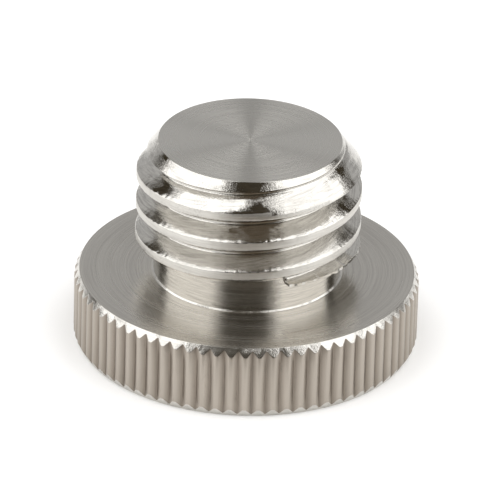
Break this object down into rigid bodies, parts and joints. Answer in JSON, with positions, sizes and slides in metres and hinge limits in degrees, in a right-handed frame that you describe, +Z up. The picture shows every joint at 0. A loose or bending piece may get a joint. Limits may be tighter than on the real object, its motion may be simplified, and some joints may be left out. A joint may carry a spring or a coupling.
{
  "type": "tripod thread adapter",
  "caption": "Knurled round thread adapter: a coarse male stud stands on a wide turned disc, with a blind tapped socket underneath.",
  "frame": {"origin": "centre of the disc's underside, on the screw axis", "axes": "+Z up along the screw axis, from the disc towards the stud's end; X and Y span the disc"},
  "size_m": [0.0242, 0.0242, 0.0154],
  "materials": {
    "turned_steel": "bright turned stainless steel, with fine tool rings on the flat faces and a crisp straight knurl"
  },
  "bodies": {
    "root": {"thread_adapter": "turned_steel"}
  },
  "joints": []
}
